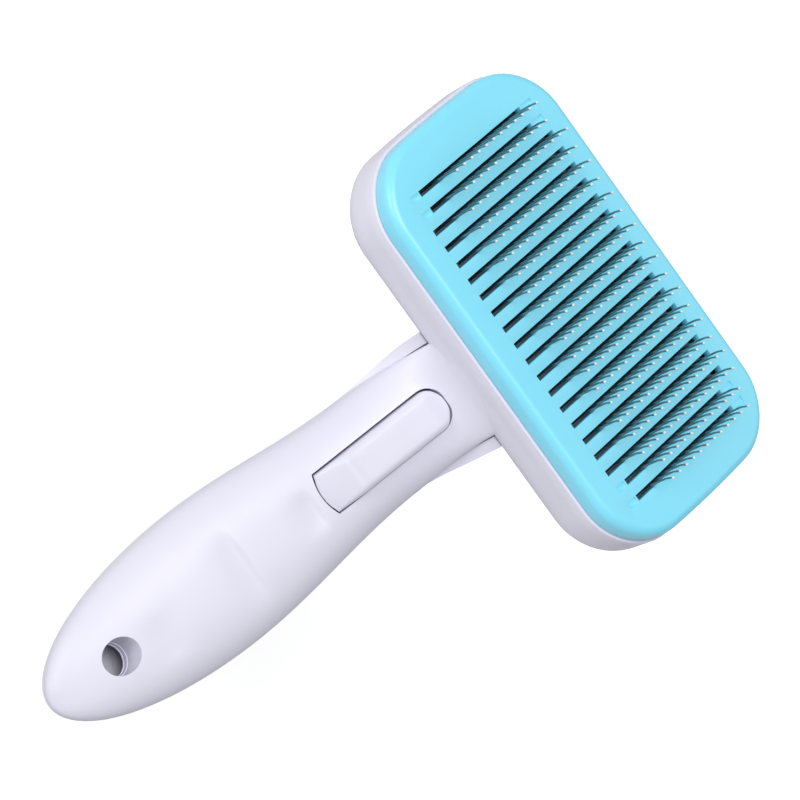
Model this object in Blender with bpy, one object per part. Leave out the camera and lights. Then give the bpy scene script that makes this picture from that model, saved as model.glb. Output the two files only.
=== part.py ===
"""Self-cleaning slicker brush: a rectangular pin head on an angled handle.

A thumb button on the neck works a lever.  The lever draws the pin carrier
straight back, so the pins leave the slots of the face plate and the hair drops off.

Frame: X runs along the long side of the head, +Y from the handle to the head,
+Z out of the face plate on the pin side.  The origin is the centre of the face.
All dimensions below are in millimetres and are scaled to metres by MM.
"""
import math

import bmesh
import bpy
from mathutils import Matrix, Vector

MM = 0.001
GAP = 0.3                      # clearance between pieces that meet

# Head outline, shared by the face plate, the housing and the back cover
HEAD_HALF_X = 51.4
HEAD_HALF_Y = 28.0
HEAD_CORNER = 15.0
HEAD_END_BOW = 1.2             # the short ends bulge by this much
HEAD_WALL = 2.2
LEDGE_WIDTH = 1.2              # ledge inside the wall that the face plate stands on
LEDGE_THICK = 1.3
HOUSING_TOP = -5.3
HOUSING_BACK = -16.6
COVER_BACK = -19.5
COVER_WALL = 2.0
WING_TOP = -14.3               # the tongue's wings reach up beside the neck to here

# Face plate
PLATE_INSET = 0.6              # the blue plate is this much smaller than the housing
PLATE_EDGE = 2.0               # radius of its rounded front edge
PLATE_THICK = 2.2
PLATE_SKIRT = 5.0
SLOT_COUNT = 20
SLOT_PITCH = 4.2
SLOT_WIDTH = 1.4
SLOT_END_LOW = -20.8
SLOT_END_HIGH = 20.9
SHORT_SLOT_LOW = -17.9
SHORT_SLOT_HIGH = 17.2
SHORT_SLOTS = (0, 1, 18, 19)   # the two outermost slots on each side
RECESS_DEPTH = 0.8

# Pins, bent wires that stand in rows
WIRE = 0.45
PIN_TIP_Z = 9.0
PIN_KNEE_Z = 4.8
PIN_LEAN = 0.19                # the lower part leans away from the handle
PIN_BEND = -0.33               # the upper part bends back towards it
PINS_LONG = 14
PINS_SHORT = 12
PIN_STEP = 2.52
PIN_MID_Y = 0.55               # middle of a row at the tips
PIN_STAGGER = 0.4              # neighbouring rows are shifted by this much
STRIP_TOP = -7.1
STRIP_HIGH = 1.0

# Pin carrier
PAD_TOP = -3.9
PAD_BOTTOM = -6.6
PAD_HALF_X = 41.8
PAD_HALF_Y = 20.6
PAD_SLOT = 1.2
BOARD_TOP = -6.9
BOARD_BOTTOM = -9.2
BOARD_HALF_X = 48.5
BOARD_HALF_Y = 24.8
BOARD_CORNER = 22.0
GUIDE_X = 45.0
GUIDE_Y = 6.0
GUIDE_RADIUS = 1.4
GUIDE_END = -13.6
LEG_X = 28.0
LEG_Y = 13.0
FACE_SCREW_X = 43.6
FACE_SCREW_Y = 20.3
PLATE_BOSS_RADIUS = 2.2
HOUSING_LUG_RADIUS = 2.9
LEG_RADIUS = 2.0
RIB_X = 7.2                    # ribs of the board and the cover that hold the lever's bar
RIB_LOW_Y = -10.0
RIB_HIGH_Y = 1.0

# Handle, in its own slanted frame: s runs along the handle, q out of its front
HANDLE_TILT = math.radians(17.4)
BUTT_S = -141.0
WIDEST_S = -96.2
NECK_S = -50.0
HANDLE_HALF = 16.5
NECK_HALF = 13.0
NECK_HALF_FRONT = 12.1         # front shell where it meets the head
NECK_HALF_WING = 15.2          # wings of the back cover where they meet the head
FRONT_Q = -9.5                 # front surface on the middle line
PARTING_Q = -19.0
PARTING_TURN_S = -56.0         # from here the parting line rises to the head's back edge
PARTING_HEAD_S = -30.0
PARTING_RISE = 12.4
BACK_DEPTH = 10.2
FILLET = 10.0                  # radius between the neck front and the head wall
FRONT_END_S = -29.0            # the neck front ends inside the head wall
TONGUE_START_S = -60.0
TONGUE_END_S = -22.5
SHELL_WALL = 2.0
SPLIT_Y = -46.0                # back shell and back cover meet on this plane
SECTION_POWER = 2.3
END_POWER = 2.6

# Button and lever
BUTTON_HALF = 4.8
BUTTON_S0 = -68.8
BUTTON_S1 = -35.0
BUTTON_CORNER = 3.6
BUTTON_EDGE = 1.7              # rounding of the pad's edge
BUTTON_FLUSH_Q = -10.2         # its top where it is flush, at the handle end
BUTTON_RISE = 3.3
BUTTON_RAMP = 8.0
BUTTON_FALL = 1.2              # the pad drops by this much at its head end
BUTTON_TOE_RISE = 1.8          # its underside clears the lever's arm at the head end
WINDOW_GAP = 0.5
BUTTON_BASE_Q = -12.3
BUTTON_END_ARCH = 1.2          # the end on the handle side is an arc, this deep
HINGE_Y = -63.0
HINGE_Z = -35.8
HINGE_PIN_RADIUS = 1.0
BARREL_HALF = 7.2
BARREL_RADIUS = 2.5
LUG_THICK = 2.6
LUG_HALF = 3.0
LUG_TOP_Q = -12.4
PLATFORM_Q = BUTTON_BASE_Q - GAP
PLATFORM_LOW_Q = -16.5
PLATFORM_S0 = -66.0
PLATFORM_S1 = -41.5
PEG_PLACES = (-60.0, -46.0)    # pegs of the platform that the button clips on
LEVER_HALF = 3.4
BAR_Y = -6.0
BAR_Z = -12.2
BAR_RADIUS = 1.5
BAR_HALF = 9.0
# Middle line of the lever's arm as (y, z), and half its thickness at each point
ARM_LINE = ((-63, -35.8), (-47, -31.9), (-37, -29.6), (-30.5, -24.0), (-27, -19.6), (-23.5, -16.4),
            (-17, -14.1), (BAR_Y, BAR_Z))
ARM_HALF = (1.9, 1.7, 1.6, 1.3, 1.2, 1.3, 1.4, 1.3)
# Room that the arm needs over the floor of the tongue and the cover, as (y, z)
LEVER_CHANNEL = ((-31, -13), (-31, -24.6), (-27, -22.3), (-22.5, -19.2), (-19, -17.5), (-14, -17.5),
                 (-14, -13))
SPRING_Y = -50.0
SPRING_TOP = -35.8
SPRING_SEAT = 1.3              # the spring's seat stands this high over the shell
SPRING_RADIUS = 3.0
SPRING_WIRE = 0.35
SPRING_TURNS = 4.5

# Hanging hole and handle screws
HOLE_Y = -115.0
HOLE_RADIUS = 4.0
HOLE_BOSS = 5.8
HANDLE_SCREWS_Y = (-101.0, -76.0)
SCREW_SHANK = 1.0
SCREW_HEAD = 2.4
SCREW_SINK = 3.2               # the heads of the handle screws sit this deep
SCREW_BOSS_FRONT = 3.2
SCREW_BOSS_BACK = 4.4
BOSS_INSET = 1.2               # bosses end this far under the outer surface


def clear_scene():
    """Remove every object that the scene starts with."""
    for item in list(bpy.data.objects):
        bpy.data.objects.remove(item, do_unlink=True)


def new_collection(name):
    collection = bpy.data.collections.new(name)
    bpy.context.scene.collection.children.link(collection)
    return collection


def new_material(name, colour, roughness, metallic=0.0):
    material = bpy.data.materials.new(name)
    material.use_nodes = True
    shader = material.node_tree.nodes["Principled BSDF"]
    shader.inputs["Base Color"].default_value = (*colour, 1.0)
    shader.inputs["Roughness"].default_value = roughness
    shader.inputs["Metallic"].default_value = metallic
    return material


clear_scene()
BRUSH = new_collection("slicker_brush")
TOOLS = new_collection("construction")
FINISHES = {
    "white_shell": ((0.86, 0.85, 0.93), 0.36, 0.0),
    "blue_face": ((0.24, 0.68, 0.86), 0.42, 0.0),
    "grey_pad": ((0.05, 0.06, 0.07), 0.75, 0.0),
    "white_inner": ((0.72, 0.72, 0.76), 0.5, 0.0),
    "pin_steel": ((0.42, 0.46, 0.47), 0.28, 1.0),
    "screw_steel": ((0.55, 0.55, 0.56), 0.35, 1.0),
    "spring_steel": ((0.5, 0.5, 0.52), 0.3, 1.0),
}


def finish_mesh(bm):
    """Merge, orient and scale a bmesh from millimetres to metres."""
    bmesh.ops.remove_doubles(bm, verts=bm.verts, dist=0.001)
    bmesh.ops.recalc_face_normals(bm, faces=bm.faces)
    bmesh.ops.scale(bm, vec=(MM, MM, MM), verts=bm.verts)


def add_object(name, bm, finish=None, origin=(0, 0, 0), smooth=True):
    """Make an object of the bmesh; without a finish it is a construction body."""
    finish_mesh(bm)
    place = Vector(origin) * MM
    bmesh.ops.translate(bm, vec=-place, verts=bm.verts)
    mesh = bpy.data.meshes.new(name)
    bm.to_mesh(mesh)
    bm.free()
    if smooth:
        mesh.shade_smooth()
        mesh.set_sharp_from_angle(angle=math.radians(35))
    item = bpy.data.objects.new(name, mesh)
    item.location = place
    if finish is None:
        TOOLS.objects.link(item)
        item.hide_render = True
        item.display_type = "WIRE"
    else:
        BRUSH.objects.link(item)
        colour, roughness, metallic = FINISHES[finish]
        mesh.materials.append(new_material(name, colour, roughness, metallic))
    return item


def combine(item, operation, bm, label):
    """Join a body to the item, or cut it out of it."""
    other = add_object(item.name + "_" + label, bm)
    modifier = item.modifiers.new(label, "BOOLEAN")
    modifier.operation = operation
    modifier.solver = "EXACT"
    modifier.object = other


def join(item, bm, label):
    combine(item, "UNION", bm, label)


def cut(item, bm, label):
    combine(item, "DIFFERENCE", bm, label)


def box(bm, low, high, turn=None):
    """Add a box between two corners, turned by a matrix if one is given."""
    low = Vector(low)
    high = Vector(high)
    size = high - low
    place = Matrix.Translation((low + high) / 2) @ Matrix.Diagonal((*size, 1))
    if turn is not None:
        place = turn @ place
    bmesh.ops.create_cube(bm, size=1, matrix=place)


def rod(bm, centre, radius, length, turn=Matrix.Identity(4), segments=24):
    """Add a round bar centred on a point; without a turn it stands along Z."""
    made = bmesh.ops.create_cone(bm, cap_ends=True, segments=segments, radius1=radius, radius2=radius,
                                 depth=length, matrix=Matrix.Translation(centre) @ turn)
    return made["verts"]


def post(bm, x, y, z_low, z_high, radius, segments=20):
    """Add an upright round bar between two heights."""
    return rod(bm, (x, y, (z_low + z_high) / 2), radius, z_high - z_low, segments=segments)


def loft(bm, rings, wrap=False):
    """Skin a series of closed rings of points; close the ends, or wrap round to the first ring."""
    made = [[bm.verts.new(p) for p in ring] for ring in rings]
    count = len(made[0])
    pairs = list(zip(made, made[1:]))
    if wrap:
        pairs.append((made[-1], made[0]))
    for ring, following in pairs:
        for i in range(count):
            j = (i + 1) % count
            bm.faces.new((ring[i], ring[j], following[j], following[i]))
    if not wrap:
        bm.faces.new(made[0])
        bm.faces.new(list(reversed(made[-1])))


def four_places(x, y):
    """The four mirrored places of a point of the head."""
    return [(side * x, end * y) for side in (-1, 1) for end in (-1, 1)]


def blend(t):
    """Smooth step from 0 to 1."""
    t = min(max(t, 0.0), 1.0)
    return (1 - math.cos(math.pi * t)) / 2


# ------------------------------------------------------------------ head outline

def outline(inset, z, half_x=HEAD_HALF_X, half_y=HEAD_HALF_Y, corner=HEAD_CORNER, bow=HEAD_END_BOW):
    """Rounded rectangle whose short ends bulge, as a ring of points at height z."""
    half_x = half_x - bow - inset
    half_y = half_y - inset
    radius = max(corner - inset, 0.6)
    arc_steps = 6
    points = []
    for quarter in range(4):
        sign_x = (1, -1, -1, 1)[quarter]
        sign_y = (1, 1, -1, -1)[quarter]
        for step in range(arc_steps + 1):
            angle = math.pi / 2 * (quarter + step / arc_steps)
            x = sign_x * (half_x - radius) + radius * math.cos(angle)
            y = sign_y * (half_y - radius) + radius * math.sin(angle)
            points.append((x, y))
        if quarter in (1, 3):
            for part in (0.5, 0.0, -0.5):
                points.append((sign_x * half_x, sign_y * part * (half_y - radius)))
    ring = []
    for x, y in points:
        bulge = bow * (x / half_x) * (1 - (y / half_y) ** 2)
        ring.append((x + bulge, y, z))
    return ring


def moulding(bm, profile, wrap=False):
    """Sweep a profile of (inset, z) points round the head outline."""
    loft(bm, [outline(inset, z) for inset, z in profile], wrap=wrap)


def arc(centre, radius, start, end, steps):
    """Points of an arc as (inset, z), angles in degrees."""
    points = []
    for step in range(steps + 1):
        angle = math.radians(start + (end - start) * step / steps)
        points.append((centre[0] + radius * math.cos(angle), centre[1] + radius * math.sin(angle)))
    return points


def slot_x(index):
    return (index - (SLOT_COUNT - 1) / 2) * SLOT_PITCH


# ------------------------------------------------------------------ handle shape

def slant(x, s, q):
    """Point of the handle's slanted frame in the brush frame."""
    cos_tilt = math.cos(HANDLE_TILT)
    sin_tilt = math.sin(HANDLE_TILT)
    return (x, cos_tilt * s - sin_tilt * q, sin_tilt * s + cos_tilt * q)


def s_of(y, z):
    return math.cos(HANDLE_TILT) * y + math.sin(HANDLE_TILT) * z


SLANT_TURN = Matrix.Rotation(HANDLE_TILT, 4, "X")
CROSSWISE = Matrix.Rotation(math.pi / 2, 4, "Y")
HINGE = (0.0, HINGE_Y, HINGE_Z)


def end_factor(s, power, inset):
    """Rounding of the butt end: 1 at the widest place, 0 at the end."""
    if s >= WIDEST_S:
        return 1.0
    reach = min((WIDEST_S - s) / (WIDEST_S - BUTT_S - inset), 1.0)
    return (1 - reach ** power) ** (1 / power)


def half_width(s, front, inset):
    """Half width of the front or back half of the handle at s."""
    wide = HANDLE_HALF - inset
    if s <= WIDEST_S:
        return wide * end_factor(s, 2.0, inset)
    wide -= (HANDLE_HALF - NECK_HALF) * blend((s - WIDEST_S) / (NECK_S - WIDEST_S))
    to_head = blend((s - NECK_S) / 20)
    end_half = NECK_HALF_FRONT if front else NECK_HALF_WING
    return wide + (end_half - NECK_HALF) * to_head


def parting(s):
    """Height of the parting line between the front and back halves."""
    rise = 0.0
    if s < WIDEST_S:
        rise = 2.4 * ((WIDEST_S - s) / (WIDEST_S - BUTT_S)) ** 2
    if s > PARTING_TURN_S:
        part = min((s - PARTING_TURN_S) / (PARTING_HEAD_S - PARTING_TURN_S), 1.0)
        rise = PARTING_RISE * part ** 3.2
    return PARTING_Q + rise


def front_height(s, inset):
    """Height of the front surface over the parting line, on the middle line."""
    wall_z = (FRONT_Q - math.sin(HANDLE_TILT) * HEAD_HALF_Y) / math.cos(HANDLE_TILT)
    start = s_of(-HEAD_HALF_Y, wall_z) - FILLET * math.tan((math.pi / 2 - HANDLE_TILT) / 2)
    top = FRONT_Q
    if s > start:
        along = min(s - start, FILLET * 0.98)
        top = FRONT_Q + FILLET - math.sqrt(FILLET ** 2 - along ** 2)
    return (top - inset - parting(s)) * end_factor(s, END_POWER, inset)


def back_depth(s, inset):
    """Depth of the back surface under the parting line, on the middle line."""
    bottom = PARTING_Q - BACK_DEPTH
    to_head = blend((s + 54) / 29)
    bottom += (-13.5 - bottom) * to_head
    return (parting(s) - bottom - inset) * end_factor(s, END_POWER, inset)


def half_section(s, front, inset, steps):
    """Half section of the handle from one parting edge over to the other."""
    width = half_width(s, front, inset)
    height = front_height(s, inset) if front else -back_depth(s, inset)
    base = parting(s) - (0.0 if front else GAP)
    points = []
    for step in range(steps + 1):
        angle = math.pi * step / steps
        across = abs(math.cos(angle)) ** (2 / SECTION_POWER)
        up = math.sin(angle) ** (2 / SECTION_POWER) if 0 < step < steps else 0.0
        side = 1 if math.cos(angle) >= 0 else -1
        points.append(slant(width * across * side, s, base + height * up))
    return points


def stations(start, end, count, rounded):
    """Places along the handle, closer together at the rounded butt."""
    places = []
    for step in range(count + 1):
        t = step / count
        if rounded:
            t = 1 - math.cos(t * math.pi / 2)
        places.append(start + (end - start) * t)
    return places


def half_shell(bm, front, end, wall, start=None, steps=12):
    """One half of the handle as a closed shell of even thickness."""
    if start is None:
        outer_s = stations(BUTT_S, WIDEST_S, 9, True)[1:] + stations(WIDEST_S, end, 18, False)[1:]
        span = WIDEST_S - BUTT_S
        inner_s = [s if s >= WIDEST_S else WIDEST_S - (WIDEST_S - s) * (span - wall) / span
                   for s in outer_s]
    else:
        outer_s = stations(start, end, 9, False)
        inner_s = outer_s
    outer = [[bm.verts.new(p) for p in half_section(s, front, 0, steps)] for s in outer_s]
    inner = [[bm.verts.new(p) for p in half_section(s, front, wall, steps)] for s in inner_s]
    for grid in (outer, inner):
        for ring, following in zip(grid, grid[1:]):
            for i in range(steps):
                bm.faces.new((ring[i], ring[i + 1], following[i + 1], following[i]))
    for edge in (0, steps):
        for i in range(len(outer) - 1):
            bm.faces.new((outer[i][edge], outer[i + 1][edge], inner[i + 1][edge], inner[i][edge]))
    ends = [-1]
    if start is None:
        base = 0.0 if front else -GAP
        outer_tip = bm.verts.new(slant(0, BUTT_S, parting(BUTT_S) + base))
        inner_tip = bm.verts.new(slant(0, BUTT_S + wall, parting(BUTT_S + wall) + base))
        for grid, tip in ((outer, outer_tip), (inner, inner_tip)):
            for i in range(steps):
                bm.faces.new((grid[0][i], grid[0][i + 1], tip))
        for edge in (0, steps):
            bm.faces.new((outer[0][edge], inner[0][edge], inner_tip, outer_tip))
    else:
        ends.append(0)
    for end_index in ends:
        for i in range(steps):
            bm.faces.new((outer[end_index][i], outer[end_index][i + 1],
                          inner[end_index][i + 1], inner[end_index][i]))


def surface_z(y, front, inset):
    """Height of the middle line of the front or back surface at a given y."""
    s = y
    q = 0.0
    for _ in range(20):
        if front:
            q = parting(s) + front_height(s, inset)
        else:
            q = parting(s) - GAP - back_depth(s, inset)
        s = (y + math.sin(HANDLE_TILT) * q) / math.cos(HANDLE_TILT)
    return math.sin(HANDLE_TILT) * s + math.cos(HANDLE_TILT) * q


def parting_z(y):
    """Height of the parting line at a given y."""
    s = y
    for _ in range(20):
        s = (y + math.sin(HANDLE_TILT) * parting(s)) / math.cos(HANDLE_TILT)
    return math.sin(HANDLE_TILT) * s + math.cos(HANDLE_TILT) * parting(s)


def boss(bm, y, front, radius, inner=None, segments=20):
    """Upright boss that starts in the sloping outer wall and ends at the parting line, or at inner."""
    slope = (surface_z(y + 1, front, BOSS_INSET) - surface_z(y - 1, front, BOSS_INSET)) / 2
    outer = surface_z(y, front, BOSS_INSET)
    if inner is None:
        inner = parting_z(y) + (GAP / 2 if front else -GAP / 2)
    verts = post(bm, 0, y, min(inner, outer), max(inner, outer), radius, segments)
    for vert in verts:
        if abs(vert.co.z - outer) < abs(vert.co.z - inner):
            vert.co.z += slope * (vert.co.y - y)


# ------------------------------------------------------------------ head pieces

def make_face_plate():
    """Blue face plate: a shallow tray, open at the back, with slots for the pins."""
    inner = PLATE_INSET + PLATE_THICK
    profile = [(inner, -PLATE_THICK), (inner, -PLATE_SKIRT), (PLATE_INSET, -PLATE_SKIRT)]
    profile += arc((PLATE_INSET + PLATE_EDGE, -PLATE_EDGE), PLATE_EDGE, 180, 90, 5)
    bm = bmesh.new()
    moulding(bm, profile)
    plate = add_object("face_plate", bm, "blue_face")

    bm = bmesh.new()
    for x, y in four_places(GUIDE_X, GUIDE_Y):
        post(bm, x, y, GUIDE_END, -PLATE_THICK / 2, GUIDE_RADIUS)
    for x, y in four_places(FACE_SCREW_X, FACE_SCREW_Y):
        post(bm, x, y, -PLATE_SKIRT, -PLATE_THICK / 2, PLATE_BOSS_RADIUS)
    join(plate, bm, "posts")

    bm = bmesh.new()
    for index in range(SLOT_COUNT):
        x = slot_x(index)
        short = index in SHORT_SLOTS
        low = SHORT_SLOT_LOW if short else SLOT_END_LOW
        high = SHORT_SLOT_HIGH if short else SLOT_END_HIGH
        box(bm, (x - SLOT_WIDTH / 2, low, -PLATE_THICK - 1), (x + SLOT_WIDTH / 2, high, 1))
        if short:
            for start, end in ((SLOT_END_LOW, low - 0.5), (high + 0.5, SLOT_END_HIGH)):
                box(bm, (x - SLOT_WIDTH / 2, start, -RECESS_DEPTH), (x + SLOT_WIDTH / 2, end, 1))
    for x, y in four_places(FACE_SCREW_X, FACE_SCREW_Y):
        post(bm, x, y, -PLATE_SKIRT - 1, -PLATE_THICK + 0.4, SCREW_SHANK)
    cut(plate, bm, "slots")
    return plate


def button_outline(s, margin):
    """Half width of the button, or of its window, at a place along the neck."""
    from_head = BUTTON_S1 + margin - s
    corner = BUTTON_CORNER + margin
    half = BUTTON_HALF + margin
    if from_head < corner:
        half -= corner - math.sqrt(max(corner ** 2 - (corner - from_head) ** 2, 0.0))
    return half


def button_window(bm, margin, low, high):
    """Prism through the neck front with the button's outline."""
    start = BUTTON_S0 - margin
    end = BUTTON_S1 + margin
    side = []
    for angle in range(0, 91, 15):
        s = end - (BUTTON_CORNER + margin) * (1 - math.cos(math.radians(angle)))
        side.append((button_outline(s, margin), s))
    side.append((BUTTON_HALF + margin, start + BUTTON_END_ARCH))
    side.append(((BUTTON_HALF + margin) / 2, start + BUTTON_END_ARCH / 4))
    around = side + [(0, start)] + [(-x, s) for x, s in reversed(side)]
    loft(bm, [[slant(x, s, q) for x, s in around] for q in (low, high)])


def make_front_shell():
    """Front housing: the head's side wall, the neck front and the handle front in one moulding."""
    bm = bmesh.new()
    half_shell(bm, True, FRONT_END_S, SHELL_WALL)
    shell = add_object("front_shell", bm, "white_shell")

    inner = HEAD_WALL
    ledge_low = HOUSING_TOP - LEDGE_THICK
    profile = [(0.0, HOUSING_TOP - 0.3), (0.3, HOUSING_TOP), (inner + LEDGE_WIDTH, HOUSING_TOP),
               (inner + LEDGE_WIDTH, ledge_low), (inner, ledge_low), (inner, HOUSING_BACK),
               (1.3, HOUSING_BACK), (0.75, HOUSING_BACK + 0.9), (0.35, HOUSING_BACK + 2.0),
               (0.15, HOUSING_BACK + 3.4)]
    bm = bmesh.new()
    moulding(bm, profile, wrap=True)
    join(shell, bm, "ring")

    bm = bmesh.new()
    for x, y in four_places(FACE_SCREW_X, FACE_SCREW_Y):
        post(bm, x, y, ledge_low, HOUSING_TOP - 0.05, HOUSING_LUG_RADIUS)
    boss(bm, HOLE_Y, True, HOLE_BOSS, segments=28)
    for y in HANDLE_SCREWS_Y:
        boss(bm, y, True, SCREW_BOSS_FRONT)
    hinge_s = s_of(HINGE_Y, HINGE_Z)
    hinge_q = math.cos(HANDLE_TILT) * HINGE_Z - math.sin(HANDLE_TILT) * HINGE_Y
    near = BARREL_HALF + GAP
    for low_x, high_x in ((-near - LUG_THICK, -near), (near, near + LUG_THICK)):
        box(bm, (low_x, hinge_s - LUG_HALF, hinge_q - LUG_HALF),
            (high_x, hinge_s + LUG_HALF, LUG_TOP_Q), SLANT_TURN)
    join(shell, bm, "bosses")

    bm = bmesh.new()
    button_window(bm, WINDOW_GAP, -14.0, -5.0)
    post(bm, 0, HOLE_Y, -70, -30, HOLE_RADIUS, 32)
    for y in HANDLE_SCREWS_Y:
        post(bm, 0, y, -70, surface_z(y, True, 2.6), SCREW_SHANK, 12)
    for x, y in four_places(FACE_SCREW_X, FACE_SCREW_Y):
        post(bm, x, y, HOUSING_TOP - 3, HOUSING_TOP + 2, SCREW_SHANK + 0.1, 16)
    rod(bm, HINGE, HINGE_PIN_RADIUS + 0.08, 2 * (near + LUG_THICK) + 0.4, CROSSWISE)
    cut(shell, bm, "openings")

    bm = bmesh.new()
    box(bm, (-20, -27.4, -30), (20, -20, HOUSING_BACK))
    cut(shell, bm, "cover_seat")
    bm = bmesh.new()
    box(bm, (-LEVER_HALF - 1, -28.4, HOUSING_BACK - 0.2), (LEVER_HALF + 1, -25, HOUSING_BACK + 1.2))
    cut(shell, bm, "lever_notch")
    return shell


def spring_floor():
    """Height of the spring's seat in the back shell."""
    return surface_z(SPRING_Y, False, SHELL_WALL) + SPRING_SEAT


def make_back_shell():
    """Back half of the handle, from the butt to the neck."""
    bm = bmesh.new()
    half_shell(bm, False, -40.0, SHELL_WALL)
    shell = add_object("back_shell", bm, "white_shell")

    bm = bmesh.new()
    boss(bm, HOLE_Y, False, HOLE_BOSS, segments=28)
    for y in HANDLE_SCREWS_Y:
        boss(bm, y, False, SCREW_BOSS_BACK)
    boss(bm, SPRING_Y, False, SPRING_RADIUS + 0.7, spring_floor())
    join(shell, bm, "bosses")

    bm = bmesh.new()
    post(bm, 0, HOLE_Y, -80, -40, HOLE_RADIUS, 32)
    for y in HANDLE_SCREWS_Y:
        post(bm, 0, y, -80, -40, SCREW_SHANK + 0.3, 16)
    cut(shell, bm, "holes")
    bm = bmesh.new()
    for y in HANDLE_SCREWS_Y:
        post(bm, 0, y, -80, surface_z(y, False, 0) + SCREW_SINK, SCREW_HEAD + 0.3, 20)
    box(bm, (-30, SPLIT_Y - GAP / 2, -80), (30, 10, 10))
    cut(shell, bm, "recesses")
    return shell


def make_back_cover():
    """Back of the head with the tongue that forms the back of the neck."""
    top = HOUSING_BACK - GAP
    wall = COVER_WALL
    floor = COVER_BACK + wall
    profile = [(3.6, floor), (3.3, top), (1.4, top), (1.9, top - 0.7), (2.7, top - 1.4),
               (3.9, top - 2.0), (5.3, top - 2.4), (7.2, COVER_BACK)]
    bm = bmesh.new()
    moulding(bm, profile)
    cover = add_object("back_cover", bm, "white_shell")

    bm = bmesh.new()
    half_shell(bm, False, TONGUE_END_S, SHELL_WALL, start=TONGUE_START_S)
    join(cover, bm, "tongue")

    bm = bmesh.new()
    for x, y in four_places(LEG_X, LEG_Y):
        post(bm, x, y, floor - 0.5, floor + 3.0, LEG_RADIUS + 1.4)
    for x in (-RIB_X, RIB_X):
        box(bm, (x - 1, RIB_LOW_Y, floor - 0.5), (x + 1, RIB_HIGH_Y, BAR_Z - BAR_RADIUS - GAP))
    join(cover, bm, "sockets")

    bm = bmesh.new()
    for x, y in four_places(LEG_X, LEG_Y):
        post(bm, x, y, floor, floor + 5, LEG_RADIUS + GAP)
    box(bm, (-30, -80, -80), (30, SPLIT_Y + GAP / 2, 10))
    loft(bm, [[(x, y, z) for y, z in LEVER_CHANNEL] for x in (-6, 6)])
    box(bm, (-30, -45.5, WING_TOP), (30, -15, -8))
    cut(cover, bm, "channel")
    bm = bmesh.new()
    box(bm, (-30, -28.35, top), (30, -15, WING_TOP + 1))
    cut(cover, bm, "wall_room")
    return cover


def make_pin_board():
    """Board that carries the pins; it slides on the face plate's guide posts."""
    bm = bmesh.new()
    rings = [outline(0, z, BOARD_HALF_X, BOARD_HALF_Y, BOARD_CORNER) for z in (BOARD_BOTTOM, BOARD_TOP)]
    loft(bm, rings)
    board = add_object("pin_board", bm, "white_inner")

    bm = bmesh.new()
    for x, y in four_places(GUIDE_X, GUIDE_Y):
        post(bm, x, y, BOARD_TOP - 0.5, -3.0, GUIDE_RADIUS + 1.1)
    for x, y in four_places(LEG_X, LEG_Y):
        post(bm, x, y, COVER_BACK + COVER_WALL + GAP, BOARD_BOTTOM + 0.5, LEG_RADIUS)
    for x in (-RIB_X, RIB_X):
        box(bm, (x - 1, RIB_LOW_Y, BAR_Z + BAR_RADIUS + GAP), (x + 1, RIB_HIGH_Y, BOARD_BOTTOM + 0.5))
    join(board, bm, "sleeves")

    bm = bmesh.new()
    for x, y in four_places(GUIDE_X, GUIDE_Y):
        post(bm, x, y, BOARD_BOTTOM - 1, 0, GUIDE_RADIUS + GAP)
    for index in range(SLOT_COUNT):
        x = slot_x(index)
        low, high = strip_span(index)
        box(bm, (x - PAD_SLOT / 2, low - GAP, STRIP_TOP - STRIP_HIGH - GAP),
            (x + PAD_SLOT / 2, high + GAP, BOARD_TOP + 1))
    cut(board, bm, "grooves")
    return board


def make_pin_pad():
    """Dark rubber pad that lies on the board and steadies the pins."""
    bm = bmesh.new()
    rings = [outline(0, z, PAD_HALF_X, PAD_HALF_Y, 6.0, 0.0) for z in (PAD_BOTTOM, PAD_TOP)]
    loft(bm, rings)
    pad = add_object("pin_pad", bm, "grey_pad")
    bm = bmesh.new()
    for index in range(SLOT_COUNT):
        x = slot_x(index)
        low, high = strip_span(index)
        box(bm, (x - PAD_SLOT / 2, low - GAP, PAD_BOTTOM - 1), (x + PAD_SLOT / 2, high + GAP, PAD_TOP + 1))
    cut(pad, bm, "slots")
    return pad


def pin_feet(index):
    """Y of each pin's foot in a row."""
    count = PINS_SHORT if index in SHORT_SLOTS else PINS_LONG
    shift = PIN_STAGGER if index % 2 == 0 else -PIN_STAGGER
    tip_to_foot = PIN_BEND * (PIN_TIP_Z - PIN_KNEE_Z) + PIN_LEAN * (PIN_KNEE_Z - STRIP_TOP)
    middle = PIN_MID_Y + shift - tip_to_foot
    return [middle + (i - (count - 1) / 2) * PIN_STEP for i in range(count)]


def strip_span(index):
    """Ends of the strip that joins a row's pins at their feet."""
    feet = pin_feet(index)
    return feet[0] - 1.0, feet[-1] + 1.0


def make_pin_row(index):
    """One row of bent wire pins on the strip that joins their feet."""
    low, high = strip_span(index)
    half = WIRE / 2
    knee_y = PIN_LEAN * (PIN_KNEE_Z - STRIP_TOP)
    tip_y = knee_y + PIN_BEND * (PIN_TIP_Z - PIN_KNEE_Z)
    side = [(low, STRIP_TOP - STRIP_HIGH), (low, STRIP_TOP)]
    for foot in pin_feet(index):
        side += [(foot - half, STRIP_TOP), (foot + knee_y - half, PIN_KNEE_Z),
                 (foot + tip_y - half, PIN_TIP_Z), (foot + tip_y + half, PIN_TIP_Z),
                 (foot + knee_y + half, PIN_KNEE_Z), (foot + half, STRIP_TOP)]
    side += [(high, STRIP_TOP), (high, STRIP_TOP - STRIP_HIGH)]
    x = slot_x(index)
    bm = bmesh.new()
    loft(bm, [[(place, y, z) for y, z in side] for place in (x - half, x + half)])
    return add_object(f"pin_row_{index + 1:02d}", bm, "pin_steel", smooth=False)


# ------------------------------------------------------------------ button and lever


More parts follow.
